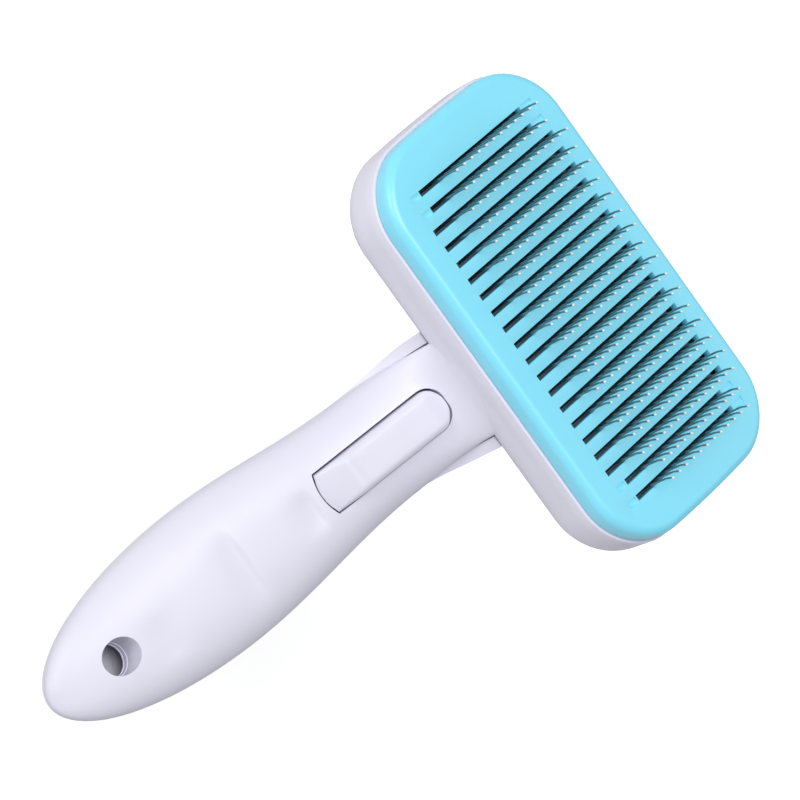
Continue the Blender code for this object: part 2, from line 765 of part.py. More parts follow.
def button_top(s):
    """Height of the button's pad: a ramp from the flush end, a flat, a rounded head end."""
    ramp = blend((s - BUTTON_S0) / BUTTON_RAMP)
    fall = blend((s - BUTTON_S1 + 4.5) / 5.2)
    return BUTTON_FLUSH_Q + BUTTON_RISE * ramp - BUTTON_FALL * fall


def make_button():
    """Thumb button, a hollow cap that sits on the lever's platform."""
    bm = bmesh.new()
    places = [BUTTON_S0 + along for along in (0, 1.5, 3, 4.5, 6, 7.5, 9, 13, 18)]
    places += [BUTTON_S1 - before for before in (10, 6.5, 4.6, 3.2, 2.0, 1.1, 0.4, 0)]
    rings = []
    for s in places:
        half = button_outline(s, 0)
        top = button_top(s)
        edge = min(BUTTON_EDGE, half * 0.5)
        base = BUTTON_BASE_Q + BUTTON_TOE_RISE * blend((s - PLATFORM_S1) / 2.5)
        section = [(half, base), (half, top - edge)]
        for angle in (30, 60, 90):
            turn = math.radians(angle)
            section.append((half - edge + edge * math.cos(turn), top - edge + edge * math.sin(turn)))
        section += [(-x, q) for x, q in reversed(section)]
        arch = BUTTON_END_ARCH * (1 - blend((s - BUTTON_S0) / BUTTON_RAMP))
        rings.append([slant(x, s + arch * (x / half) ** 2, q) for x, q in section])
    loft(bm, rings)
    button = add_object("button", bm, "white_shell", HINGE)
    bm = bmesh.new()
    for s in PEG_PLACES:
        rod(bm, slant(0, s, BUTTON_BASE_Q), 1.5, 4.4, SLANT_TURN, 16)
    cut(button, bm, "sockets")
    return button


def make_lever():
    """Lever: a barrel on the hinge pin, an arm under the neck and a cross bar in the head."""
    upper = []
    lower = []
    for i, (y, z) in enumerate(ARM_LINE):
        before = Vector(ARM_LINE[max(i - 1, 0)])
        after = Vector(ARM_LINE[min(i + 1, len(ARM_LINE) - 1)])
        along = (after - before).normalized() * ARM_HALF[i]
        upper.append((y - along.y, z + along.x))
        lower.append((y + along.y, z - along.x))
    side = upper + list(reversed(lower))
    bm = bmesh.new()
    loft(bm, [[(x, y, z) for y, z in side] for x in (-LEVER_HALF, LEVER_HALF)])
    lever = add_object("lever", bm, "white_inner", HINGE)

    bm = bmesh.new()
    rod(bm, HINGE, BARREL_RADIUS, 2 * BARREL_HALF, CROSSWISE)
    rod(bm, (0, BAR_Y, BAR_Z), BAR_RADIUS, 2 * BAR_HALF, CROSSWISE, 20)
    join(lever, bm, "barrel")
    bm = bmesh.new()
    box(bm, (-LEVER_HALF + 0.4, PLATFORM_S0, PLATFORM_LOW_Q),
        (LEVER_HALF - 0.4, PLATFORM_S1, PLATFORM_Q), SLANT_TURN)
    join(lever, bm, "platform")
    bm = bmesh.new()
    for s in PEG_PLACES:
        box(bm, (-0.8, s - 0.8, PLATFORM_Q - 1), (0.8, s + 0.8, PLATFORM_Q + 1.8), SLANT_TURN)
    join(lever, bm, "pegs")
    bm = bmesh.new()
    rod(bm, HINGE, HINGE_PIN_RADIUS + 0.1, 2 * BARREL_HALF + 2, CROSSWISE)
    cut(lever, bm, "bore")
    return lever


def make_hinge_pin():
    bm = bmesh.new()
    rod(bm, HINGE, HINGE_PIN_RADIUS, 2 * (BARREL_HALF + GAP + LUG_THICK) - 0.2, CROSSWISE)
    return add_object("hinge_pin", bm, "screw_steel", HINGE)


def make_return_spring():
    """Coil spring between the back shell's seat and the lever."""
    low = spring_floor() + GAP + SPRING_WIRE
    high = SPRING_TOP - SPRING_WIRE
    count = int(SPRING_TURNS * 12) + 1
    curve = bpy.data.curves.new("return_spring", "CURVE")
    curve.dimensions = "3D"
    curve.bevel_depth = SPRING_WIRE * MM
    curve.bevel_resolution = 2
    curve.use_fill_caps = True
    spline = curve.splines.new("POLY")
    spline.points.add(count - 1)
    for i in range(count):
        t = i / (count - 1)
        angle = 2 * math.pi * SPRING_TURNS * t
        x = SPRING_RADIUS * math.cos(angle)
        y = SPRING_Y + SPRING_RADIUS * math.sin(angle)
        spline.points[i].co = (x * MM, y * MM, (low + (high - low) * t) * MM, 1.0)
    spring = bpy.data.objects.new("return_spring", curve)
    BRUSH.objects.link(spring)
    colour, roughness, metallic = FINISHES["spring_steel"]
    curve.materials.append(new_material("return_spring", colour, roughness, metallic))
    return spring


def make_screw(name, x, y, head_low, head_high, tip, head_radius):
    """Pan head screw that points up, with a cross cut in its head."""
    bm = bmesh.new()
    post(bm, x, y, head_low, head_high, head_radius, 20)
    screw = add_object(name, bm, "screw_steel")
    bm = bmesh.new()
    post(bm, x, y, head_high - 0.3, tip, SCREW_SHANK - 0.25, 12)
    join(screw, bm, "shank")
    bm = bmesh.new()
    box(bm, (x - 1.1, y - 0.25, head_low - 1), (x + 1.1, y + 0.25, head_low + 0.7))
    cut(screw, bm, "cross")
    return screw


def build():
    make_face_plate()
    make_front_shell()
    make_back_shell()
    make_back_cover()
    make_pin_board()
    make_pin_pad()
    for index in range(SLOT_COUNT):
        make_pin_row(index)
    make_button()
    make_lever()
    make_hinge_pin()
    make_return_spring()
    for number, (x, y) in enumerate(four_places(FACE_SCREW_X, FACE_SCREW_Y), 1):
        high = HOUSING_TOP - LEDGE_THICK - GAP
        make_screw(f"face_screw_{number}", x, y, high - 1.4, high, -PLATE_THICK + 0.1, 1.7)
    for number, y in enumerate(HANDLE_SCREWS_Y, 1):
        high = surface_z(y, False, 0) + SCREW_SINK - GAP
        make_screw(f"handle_screw_{number}", 0, y, high - 1.5, high, surface_z(y, True, 3.2), SCREW_HEAD)


build()
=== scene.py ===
import math

import bmesh
import bpy
from mathutils import Matrix, Vector


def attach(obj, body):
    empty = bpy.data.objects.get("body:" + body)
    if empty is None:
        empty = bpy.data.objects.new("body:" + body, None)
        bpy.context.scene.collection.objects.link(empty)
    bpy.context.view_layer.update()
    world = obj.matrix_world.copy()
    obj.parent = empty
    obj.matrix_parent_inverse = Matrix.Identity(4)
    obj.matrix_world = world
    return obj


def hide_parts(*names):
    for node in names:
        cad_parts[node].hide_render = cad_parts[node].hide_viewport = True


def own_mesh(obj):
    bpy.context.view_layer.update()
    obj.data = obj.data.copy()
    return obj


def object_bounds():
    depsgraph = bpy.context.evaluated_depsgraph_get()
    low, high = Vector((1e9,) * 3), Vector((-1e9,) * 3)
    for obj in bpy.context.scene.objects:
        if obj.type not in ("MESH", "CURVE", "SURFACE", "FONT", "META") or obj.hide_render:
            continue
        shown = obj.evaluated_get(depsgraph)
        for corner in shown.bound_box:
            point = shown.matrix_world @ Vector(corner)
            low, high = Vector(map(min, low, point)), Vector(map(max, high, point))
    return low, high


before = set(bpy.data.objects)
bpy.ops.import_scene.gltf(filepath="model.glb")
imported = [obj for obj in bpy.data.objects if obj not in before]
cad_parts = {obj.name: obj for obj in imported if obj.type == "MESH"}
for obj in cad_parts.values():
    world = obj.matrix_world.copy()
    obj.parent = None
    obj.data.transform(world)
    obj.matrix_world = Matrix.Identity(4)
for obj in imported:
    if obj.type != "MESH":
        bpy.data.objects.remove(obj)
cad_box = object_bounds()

# ---------------------------------------------------------------- studio
# A long lens looks down on the pin side from the handle's left.
# A broad even light hangs overhead, two weak soft boxes fill the sides, over a pale paper sweep.
stage = bpy.context.scene

lens = bpy.data.cameras.new("camera")
lens.sensor_width = 36
lens.lens = 194.97
lens.clip_start = 0.05
lens.clip_end = 20
camera = bpy.data.objects.new("camera", lens)
camera.location = (-0.13576, -0.55834, 0.72677)
camera.rotation_euler = [math.radians(angle) for angle in (16.4914, -32.0408, 46.8530)]
stage.collection.objects.link(camera)
stage.camera = camera

FLOOR_DROP = 0.16              # the paper lies this far under the brush, so shadows stay soft
PAPER_GLOW = 0.48              # brightness of the paper that lights nothing
AIR_LIGHT = 0.25               # light that the air round the brush gives
AIR_GLOW = 0.68                # brightness of the air that lights nothing


def soft_light(name, place, aim, size, power, tint):
    """A square soft box that looks at a point of the brush."""
    lamp = bpy.data.lights.new(name, "AREA")
    lamp.shape = "SQUARE"
    lamp.size = size
    lamp.energy = power
    lamp.color = tint
    box = bpy.data.objects.new(name, lamp)
    box.location = place
    box.rotation_euler = (Vector(aim) - Vector(place)).to_track_quat("-Z", "Y").to_euler()
    stage.collection.objects.link(box)


overhead = bpy.data.lights.new("overhead", "SUN")
overhead.energy = 1.95
overhead.angle = math.radians(32)
hanging = bpy.data.objects.new("overhead", overhead)
hanging.rotation_euler = Vector((0.27, 0.31, -1.4)).to_track_quat("-Z", "Y").to_euler()
stage.collection.objects.link(hanging)
soft_light("left_fill", (-1.1, -1.15, 0.6), (0, -0.05, 0), 0.9, 10, (1, 1, 1))
soft_light("far_rim", (0.4, 1.1, 0.9), (0, -0.03, 0), 0.7, 2, (1, 1, 1))


def seen_strength(tree, glow, light):
    """Strength of a light source: its true light, and a glow that only the lens sees."""
    path = tree.nodes.new("ShaderNodeLightPath")
    strength = tree.nodes.new("ShaderNodeMath")
    strength.operation = "MULTIPLY_ADD"
    strength.inputs[1].default_value = glow
    strength.inputs[2].default_value = light
    tree.links.new(path.outputs["Is Camera Ray"], strength.inputs[0])
    return strength.outputs["Value"]


air = bpy.data.worlds.new("studio_air")
air.use_nodes = True
sky = air.node_tree.nodes["Background"]
sky.inputs["Color"].default_value = (0.95, 0.96, 1.0, 1)
air.node_tree.links.new(seen_strength(air.node_tree, AIR_GLOW, AIR_LIGHT), sky.inputs["Strength"])
stage.world = air
stage.view_settings.view_transform = "Standard"

bm = bmesh.new()
bmesh.ops.create_grid(bm, x_segments=8, y_segments=8, size=6)
bmesh.ops.translate(bm, vec=(0, 0, cad_box[0][2] - FLOOR_DROP), verts=bm.verts)
sweep_mesh = bpy.data.meshes.new("sweep")
bm.to_mesh(sweep_mesh)
bm.free()
paper = bpy.data.materials.new("sweep_paper")
paper.use_nodes = True
tree = paper.node_tree
shader = tree.nodes["Principled BSDF"]
shader.inputs["Roughness"].default_value = 0.95
shader.inputs["Specular IOR Level"].default_value = 0.1
shader.inputs["Emission Color"].default_value = (1, 1, 1, 1)
tree.links.new(seen_strength(tree, PAPER_GLOW, 0), shader.inputs["Emission Strength"])
where = tree.nodes.new("ShaderNodeTexCoord")
fibres = tree.nodes.new("ShaderNodeTexNoise")
fibres.inputs["Scale"].default_value = 400
tone = tree.nodes.new("ShaderNodeMix")
tone.data_type = "RGBA"
tone.inputs["A"].default_value = (0.73, 0.73, 0.73, 1)
tone.inputs["B"].default_value = (0.71, 0.71, 0.71, 1)
tree.links.new(where.outputs["Object"], fibres.inputs["Vector"])
tree.links.new(fibres.outputs["Fac"], tone.inputs["Factor"])
tree.links.new(tone.outputs["Result"], shader.inputs["Base Color"])
sweep_mesh.materials.append(paper)
floor = bpy.data.objects.new("sweep", sweep_mesh)
stage.collection.objects.link(floor)

# ---------------------------------------------------------------- front shell
# The housing is one moulding in gloss white resin: the head's side wall, the neck's front and the
# front half of the handle.  It is injected from the handle end, and its wall is 2 mm thick.
# From here on, sizes are in millimetres.
MM = 0.001
GAP = 0.3                      # clearance between mouldings that meet or slide
HEAD_X = 51.4                  # half length of the head
HEAD_Y = 28.0                  # half width of the head
HEAD_CORNER = 15.0
HEAD_BOW = 1.2                 # the short ends bulge by this much
HEAD_WALL = 2.2
LEDGE_TOP = -5.3               # the face plate stands on a ledge inside the wall
LEDGE_FOOT = -6.6
WALL_FOOT = -16.6
FACE_SCREWS = [(x, y) for x in (-43.6, 43.6) for y in (-20.3, 20.3)]
FACE_LUG = 2.9                 # radius of the ledge's screw lugs, and of their bores
FACE_BORE = 1.1

TILT = math.radians(17.4)      # the handle leans back; s runs along it and q out of its front
LEAN_BACK = Matrix.Rotation(TILT, 4, "X")
BUTT = -141.0                  # s of the butt, the widest place and the neck
WIDEST = -96.2
NECK = -50.0
PALM_HALF = 16.5               # half widths: in the palm, at the neck, and where it meets the head
NECK_HALF = 13.0
ROOT_FRONT_HALF = 12.1
ROOT_BACK_HALF = 15.2
ROOT_LENGTH = 20               # the neck takes this length to change to its half width at the head
FRONT_FULLNESS = 2.7           # the half sections are fuller than an ellipse, whose value is 2
BACK_FULLNESS = 2.3
BUTT_FULLNESS = 2.6
FRONT_LINE = -9.5              # q of the front on the middle line
PARTING = -19.0                # q of the line where the front and back halves meet
PARTING_LIFT = 2.4             # the line lifts a little at the butt
PARTING_TURN = -56.0           # and from here it sweeps up to the head
PARTING_SWEEP = 26.0
PARTING_RISE = 12.4
BACK_DEPTH = 10.2              # depth of the back under the parting line
BACK_TURN = -54.0              # from here it thins towards the head
BACK_SWEEP = 29.0
ROOT_BACK = -13.5              # q of the back where it meets the head
FILLET = 10.0                  # radius between the neck's front and the head's wall
FRONT_END = -29.0
SHELL_WALL = 2.0
BOSS_INSET = 1.2               # bosses end this far under the outer surface
HOLE_Y = -115.0
HOLE_RADIUS = 4.0
HOLE_BOSS = 5.8
HANDLE_SCREWS = (-101.0, -76.0)
SCREW_BOSS = 3.2               # radius of the front's screw bosses, and of their blind bores
SCREW_PILOT = 1.0
PILOT_SKIN = 2.6               # what a blind bore leaves under the outer surface
FAR_BELOW = -80                # lower than any part of the brush
LUG_NEAR = 7.5                 # two lugs hold the hinge pin
LUG_FAR = 10.1
CREASE_DEPTH = 0.6
CREASE_AHEAD = 0.9             # a fold is short ahead of its line and long behind it
CREASE_BEHIND = 4.5
# Faint folds across the handle's front, each as s, x and half length
CREASES = ((-112.6, 3.0, 4.5), (-91.0, 1.0, 8.0), (-71.9, 1.0, 4.0))


def head_ring(inset, z, arc=14):
    """Closed ring round the head: straight long sides, round corners, slightly bowed ends."""
    half_x = HEAD_X - HEAD_BOW - inset
    half_y = HEAD_Y - inset
    radius = max(HEAD_CORNER - inset, 0.6)
    flat = []
    for quarter, (side_x, side_y) in enumerate(((1, 1), (-1, 1), (-1, -1), (1, -1))):
        for step in range(arc + 1):
            angle = math.pi / 2 * (quarter + step / arc)
            flat.append((side_x * (half_x - radius) + radius * math.cos(angle),
                         side_y * (half_y - radius) + radius * math.sin(angle)))
        if quarter in (1, 3):
            for part in (0.75, 0.5, 0.25, 0.0, -0.25, -0.5, -0.75):
                flat.append((side_x * half_x, -side_x * part * (half_y - radius)))
    return [(x + HEAD_BOW * (x / half_x) * (1 - (y / half_y) ** 2), y, z) for x, y in flat]


def ease(t):
    """Smooth step from 0 to 1."""
    t = min(max(t, 0.0), 1.0)
    return (1 - math.cos(math.pi * t)) / 2


def lean(x, s, q):
    """A point of the leaning handle, s along it and q out of its front."""
    return (x, math.cos(TILT) * s - math.sin(TILT) * q, math.sin(TILT) * s + math.cos(TILT) * q)


def butt_rounding(s, fullness, inset):
    """Share of the full size that is left at a place in the rounded butt."""
    if s >= WIDEST:
        return 1.0
    reach = min((WIDEST - s) / (WIDEST - BUTT - inset), 1.0)
    return (1 - reach ** fullness) ** (1 / fullness)


def grip_half(s, front, inset):
    """Half width of the handle: widest in the palm, slim at the neck."""
    wide = PALM_HALF - inset
    if s <= WIDEST:
        return wide * butt_rounding(s, 2.0, inset)
    wide -= (PALM_HALF - NECK_HALF) * ease((s - WIDEST) / (NECK - WIDEST))
    root_half = ROOT_FRONT_HALF if front else ROOT_BACK_HALF
    return wide + (root_half - NECK_HALF) * ease((s - NECK) / ROOT_LENGTH)


def parting_line(s):
    """Height at which the front and back halves meet."""
    rise = 0.0
    if s < WIDEST:
        rise = PARTING_LIFT * ((WIDEST - s) / (WIDEST - BUTT)) ** 2
    if s > PARTING_TURN:
        rise = PARTING_RISE * min((s - PARTING_TURN) / PARTING_SWEEP, 1.0) ** 3.2
    return PARTING + rise


def front_rise(s, inset):
    """Height of the front over the parting line; it sweeps up into the head's wall."""
    wall_z = (FRONT_LINE - math.sin(TILT) * HEAD_Y) / math.cos(TILT)
    turn_s = -math.cos(TILT) * HEAD_Y + math.sin(TILT) * wall_z
    start = turn_s - FILLET * math.tan((math.pi / 2 - TILT) / 2)
    top = FRONT_LINE
    if s > start:
        along = min(s - start, FILLET * 0.98)
        top = FRONT_LINE + FILLET - math.sqrt(FILLET ** 2 - along ** 2)
    return (top - inset - parting_line(s)) * butt_rounding(s, BUTT_FULLNESS, inset)


def back_drop(s, inset):
    """Depth of the back under the parting line; it thins towards the head."""
    bottom = PARTING - BACK_DEPTH
    bottom += (ROOT_BACK - bottom) * ease((s - BACK_TURN) / BACK_SWEEP)
    return (parting_line(s) - bottom - inset) * butt_rounding(s, BUTT_FULLNESS, inset)


def grip_section(s, front, inset, steps=44):
    """Half section of the handle, from one parting edge over to the other."""
    wide = grip_half(s, front, inset)
    tall = front_rise(s, inset) if front else -back_drop(s, inset)
    base = parting_line(s) - (0.0 if front else GAP)
    section = []
    fullness = FRONT_FULLNESS if front else BACK_FULLNESS
    for step in range(steps + 1):
        angle = math.pi * step / steps
        across = math.copysign(abs(math.cos(angle)) ** (2 / fullness), math.cos(angle))
        up = math.sin(angle) ** (2 / fullness) if 0 < step < steps else 0.0
        x = wide * across
        q = base + tall * up
        if front and inset == 0:
            for crease_s, crease_x, reach in CREASES:
                ahead = s - crease_s
                sink = math.exp(-(ahead / (CREASE_AHEAD if ahead > 0 else CREASE_BEHIND)) ** 2)
                q -= CREASE_DEPTH * sink * math.exp(-((x - crease_x) / reach) ** 4)
        section.append(lean(x, s, q))
    return section


def pull_along(bm, sections, closed=False):
    """Draw the first section as a chain of edges and pull it on from section to section."""
    verts = [bm.verts.new(point) for point in sections[0]]
    partners = verts[1:] + (verts[:1] if closed else [])
    edges = [bm.edges.new(pair) for pair in zip(verts, partners)]
    for section in sections[1:]:
        made = bmesh.ops.extrude_edge_only(bm, edges=edges)["geom"]
        fresh = {item for item in made if isinstance(item, bmesh.types.BMVert)}
        edges = [item for item in made if isinstance(item, bmesh.types.BMEdge)
                 and item.verts[0] in fresh and item.verts[1] in fresh]
        places = {vert: i for i, vert in enumerate(verts)}
        moved = [None] * len(verts)
        for vert in fresh:
            i = next(places[edge.other_vert(vert)] for edge in vert.link_edges
                     if edge.other_vert(vert) in places)
            vert.co = section[i]
            moved[i] = vert
        verts = moved


def grip_stations(start, end, rounded, pitch=0.6, butt_steps=26):
    """Places along the handle, closer together at the rounded butt."""
    places = []
    if rounded:
        places = [WIDEST - (WIDEST - start) * math.cos(math.pi / 2 * i / butt_steps)
                  for i in range(butt_steps)]
        start = WIDEST
    count = math.ceil((end - start) / pitch)
    return places + [start + (end - start) * i / count for i in range(count + 1)]


def grip_shell(bm, front, end, start=BUTT, lip=0.0):
    """One half of the handle: outer skin and inner skin, joined along their open edges.

    The lip is what the wall gains in thickness towards the head.
    """
    rounded = start == BUTT
    outer = grip_stations(start, end, rounded)
    span = WIDEST - BUTT
    inner = [s if s >= WIDEST else WIDEST - (WIDEST - s) * (span - SHELL_WALL) / span for s in outer]
    for stations, wall in ((outer, 0), (inner, 1)):
        pull_along(bm, [grip_section(s, front, wall * (SHELL_WALL + lip * ease((s - NECK) / ROOT_LENGTH)))
                        for s in reversed(stations)])
    bmesh.ops.remove_doubles(bm, verts=bm.verts, dist=0.001)
    bmesh.ops.bridge_loops(bm, edges=[edge for edge in bm.edges if edge.is_boundary])


def round_bar(bm, x, y, low, high, radius, segments=32):
    """An upright round bar between two heights."""
    place = Matrix.Translation((x, y, (low + high) / 2))
    return bmesh.ops.create_cone(bm, cap_ends=True, segments=segments, radius1=radius,
                                 radius2=radius, depth=high - low, matrix=place)["verts"]


def block(bm, low, high, turn=Matrix()):
    """A block between two corners."""
    low = Vector(low)
    high = Vector(high)
    place = turn @ Matrix.Translation((low + high) / 2) @ Matrix.Diagonal((*(high - low), 1))
    bmesh.ops.create_cube(bm, size=1, matrix=place)


def mesh_of(bm, name):
    """Close, orient and scale a bmesh, and make it a mesh."""
    bmesh.ops.remove_doubles(bm, verts=bm.verts, dist=0.0005)
    bmesh.ops.recalc_face_normals(bm, faces=bm.faces)
    bmesh.ops.scale(bm, vec=(MM, MM, MM), verts=bm.verts)
    mesh = bpy.data.meshes.new(name)
    bm.to_mesh(mesh)
    bm.free()
    return mesh


def new_piece(name, bm):
    """A new object of the brush from a bmesh."""
    piece = bpy.data.objects.new(name, mesh_of(bm, name))
    stage.collection.objects.link(piece)
    return piece


def fix_changes(piece):
    """Fix the piece's modifiers into its mesh."""
    graph = bpy.context.evaluated_depsgraph_get()
    fixed = bpy.data.meshes.new_from_object(piece.evaluated_get(graph))
    piece.modifiers.clear()
    rough = piece.data
    piece.data = fixed
    bpy.data.meshes.remove(rough)
    fixed.name = piece.name


def work(piece, bm, how):
    """Join a body to the piece (UNION) or cut it away (DIFFERENCE)."""
    tool = new_piece("tool", bm)
    change = piece.modifiers.new(how, "BOOLEAN")
    change.operation = how
    change.solver = "EXACT"
    change.object = tool
    fix_changes(piece)
    bpy.data.objects.remove(tool, do_unlink=True)


def ease_edges(piece, width, limit=50):
    """Break the piece's sharp edges with a small radius."""
    change = piece.modifiers.new("eased_edges", "BEVEL")
    change.width = width * MM
    change.segments = 2
    change.limit_method = "ANGLE"
    change.angle_limit = math.radians(limit)
    fix_changes(piece)


def finish(piece, material, slot, body, *nodes, smooth=34):
    """Give the piece its material and let it stand for its CAD nodes."""
    if piece.data.materials:
        piece.data.materials[0] = material
    else:
        piece.data.materials.append(material)
    piece.data.shade_smooth()
    piece.data.set_sharp_from_angle(angle=math.radians(smooth))
    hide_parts(*nodes)
    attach(piece, body)


def moulded_surface():
    """Group for every moulding: slow drift of the resin's shade, mould grain, handled gloss."""
    group = bpy.data.node_groups.new("moulded_surface", "ShaderNodeTree")
    sockets = group.interface
    for label, kind, value in (("Colour", "NodeSocketColor", (0.8, 0.8, 0.8, 1)),
                               ("Shade", "NodeSocketColor", (0.7, 0.7, 0.7, 1)),
                               ("Roughness", "NodeSocketFloat", 0.4),
                               ("Drift", "NodeSocketFloat", 30.0),
                               ("Grain", "NodeSocketFloat", 2200.0)):
        sockets.new_socket(label, in_out="INPUT", socket_type=kind).default_value = value
    sockets.new_socket("Colour", in_out="OUTPUT", socket_type="NodeSocketColor")
    sockets.new_socket("Roughness", in_out="OUTPUT", socket_type="NodeSocketFloat")
    sockets.new_socket("Height", in_out="OUTPUT", socket_type="NodeSocketFloat")
    nodes = group.nodes
    link = group.links.new
    given = nodes.new("NodeGroupInput")
    result = nodes.new("NodeGroupOutput")
    where = nodes.new("ShaderNodeTexCoord")
    drift = nodes.new("ShaderNodeTexNoise")
    drift.inputs["Detail"].default_value = 3
    grain = nodes.new("ShaderNodeTexNoise")
    grain.inputs["Detail"].default_value = 4
    grain.inputs["Roughness"].default_value = 0.6
    specks = nodes.new("ShaderNodeTexVoronoi")
    specks.inputs["Scale"].default_value = 900
    spread = nodes.new("ShaderNodeMapRange")
    spread.inputs["From Min"].default_value = 0.3
    spread.inputs["From Max"].default_value = 0.7
    tint = nodes.new("ShaderNodeMix")
    tint.data_type = "RGBA"
    speck_edge = nodes.new("ShaderNodeMapRange")
    speck_edge.inputs["From Min"].default_value = 0.0
    speck_edge.inputs["From Max"].default_value = 0.12
    speck_edge.inputs["To Min"].default_value = 0.985
    speck_edge.inputs["To Max"].default_value = 1.0
    speckled = nodes.new("ShaderNodeMix")
    speckled.data_type = "RGBA"
    speckled.blend_type = "MULTIPLY"
    speckled.inputs["Factor"].default_value = 1.0
    wander = nodes.new("ShaderNodeMath")
    wander.operation = "MULTIPLY_ADD"
    wander.inputs[1].default_value = 0.12
    handled = nodes.new("ShaderNodeMath")
    handled.operation = "SUBTRACT"
    handled.inputs[1].default_value = 0.06
    for noise, scale in ((drift, "Drift"), (grain, "Grain")):
        link(where.outputs["Object"], noise.inputs["Vector"])
        link(given.outputs[scale], noise.inputs["Scale"])
    link(where.outputs["Object"], specks.inputs["Vector"])
    link(drift.outputs["Fac"], spread.inputs["Value"])
    link(spread.outputs["Result"], tint.inputs["Factor"])
    link(given.outputs["Colour"], tint.inputs["A"])
    link(given.outputs["Shade"], tint.inputs["B"])
    link(specks.outputs["Distance"], speck_edge.inputs["Value"])
    link(tint.outputs["Result"], speckled.inputs["A"])
    link(speck_edge.outputs["Result"], speckled.inputs["B"])
    link(speckled.outputs["Result"], result.inputs["Colour"])
    link(drift.outputs["Fac"], wander.inputs[0])
    link(given.outputs["Roughness"], wander.inputs[2])
    link(wander.outputs["Value"], handled.inputs[0])
    link(handled.outputs["Value"], result.inputs["Roughness"])
    link(grain.outputs["Fac"], result.inputs["Height"])
    return group


MOULDED = moulded_surface()


def resin(name, colour, shade, roughness, drift, grain, relief, coat=0.0):
    """A moulded resin: its shade drifts, its gloss wanders, its skin has the mould's grain."""
    material = bpy.data.materials.new(name)
    material.use_nodes = True
    tree = material.node_tree
    shader = tree.nodes["Principled BSDF"]
    surface = tree.nodes.new("ShaderNodeGroup")
    surface.node_tree = MOULDED
    surface.inputs["Colour"].default_value = (*colour, 1)
    surface.inputs["Shade"].default_value = (*shade, 1)
    surface.inputs["Roughness"].default_value = roughness
    surface.inputs["Drift"].default_value = drift
    surface.inputs["Grain"].default_value = grain
    bump = tree.nodes.new("ShaderNodeBump")
    bump.inputs["Strength"].default_value = relief
    bump.inputs["Distance"].default_value = 0.00003
    tree.links.new(surface.outputs["Height"], bump.inputs["Height"])
    tree.links.new(surface.outputs["Colour"], shader.inputs["Base Color"])
    tree.links.new(surface.outputs["Roughness"], shader.inputs["Roughness"])
    tree.links.new(bump.outputs["Normal"], shader.inputs["Normal"])
    shader.inputs["Coat Weight"].default_value = coat
    shader.inputs["Coat Roughness"].default_value = 0.25
    return material


WHITE = (0.756, 0.742, 0.848)
WHITE_SHADE = (0.732, 0.718, 0.824)
white_resin = resin("white_resin", WHITE, WHITE_SHADE, roughness=0.46, drift=22, grain=2600, relief=0.3)


def front_z(y, front, inset):
    """Height of the outer surface on the middle line at a given y."""
    s = y
    q = 0.0
    for _ in range(20):
        q = parting_line(s) + (front_rise(s, inset) if front else -GAP - back_drop(s, inset))
        s = (y + math.sin(TILT) * q) / math.cos(TILT)
    return math.sin(TILT) * s + math.cos(TILT) * q


def parting_z(y):
    """Height of the parting line at a given y."""
    s = y
    for _ in range(20):
        s = (y + math.sin(TILT) * parting_line(s)) / math.cos(TILT)
    return math.sin(TILT) * s + math.cos(TILT) * parting_line(s)


def shell_boss(bm, y, front, radius, inner=None):
    """A boss from the leaning wall to the parting line, or to a height inside."""
    slope = (front_z(y + 1, front, BOSS_INSET) - front_z(y - 1, front, BOSS_INSET)) / 2
    outer = front_z(y, front, BOSS_INSET)
    if inner is None:
        inner = parting_z(y) + (GAP / 2 if front else -GAP / 2)
    for vert in round_bar(bm, 0, y, min(inner, outer), max(inner, outer), radius):
        if abs(vert.co.z - outer) < abs(vert.co.z - inner):
            vert.co.z += slope * (vert.co.y - y)


BUTTON_START = -68.8           # s of the button's two ends
BUTTON_END = -35.0
BUTTON_HALF = 4.8
BUTTON_CORNER = 3.6
BUTTON_ARCH = 1.2              # the end on the handle's side is an arc, this deep
WINDOW_GAP = 0.38              # the window is this much wider all round
WINDOW_ASIDE = 0.12            # the window sits this far off the button's middle


def window_plan(margin, aside):
    """Outline of the button's window as (x, s): arched at the handle, round at the head."""
    half = BUTTON_HALF + margin
    corner = BUTTON_CORNER + margin
    end = BUTTON_END + margin
    side = []
    for step in range(13):
        angle = math.pi / 2 * step / 12
        side.append((half - corner + corner * math.sin(angle), end - corner * (1 - math.cos(angle))))
    start = BUTTON_START - margin
    for step in range(6):
        x = half * (1 - step / 6)
        side.append((x, start + BUTTON_ARCH * (x / half) ** 2))
    whole = side + [(0, start)] + [(-x, s) for x, s in reversed(side)]
    return [(x - aside, s) for x, s in whole]


bm = bmesh.new()
grip_shell(bm, True, FRONT_END)
front_shell = new_piece("front_shell_moulding", bm)

# Each point of the wall's profile is its inset from the head's outline and its height
wall_profile = [(0.0, -5.6), (0.09, -5.39), (0.3, LEDGE_TOP), (3.4, LEDGE_TOP), (3.4, LEDGE_FOOT),
                (HEAD_WALL, LEDGE_FOOT), (HEAD_WALL, WALL_FOOT), (1.3, WALL_FOOT), (1.0, -16.2),
                (0.72, -15.6), (0.5, -15.0), (0.33, -14.4), (0.2, -13.7), (0.12, -13.0),
                (0.06, -11.5), (0.03, -8.5), (0.0, -5.6)]
bm = bmesh.new()
pull_along(bm, [head_ring(inset, z) for inset, z in wall_profile], closed=True)
work(front_shell, bm, "UNION")

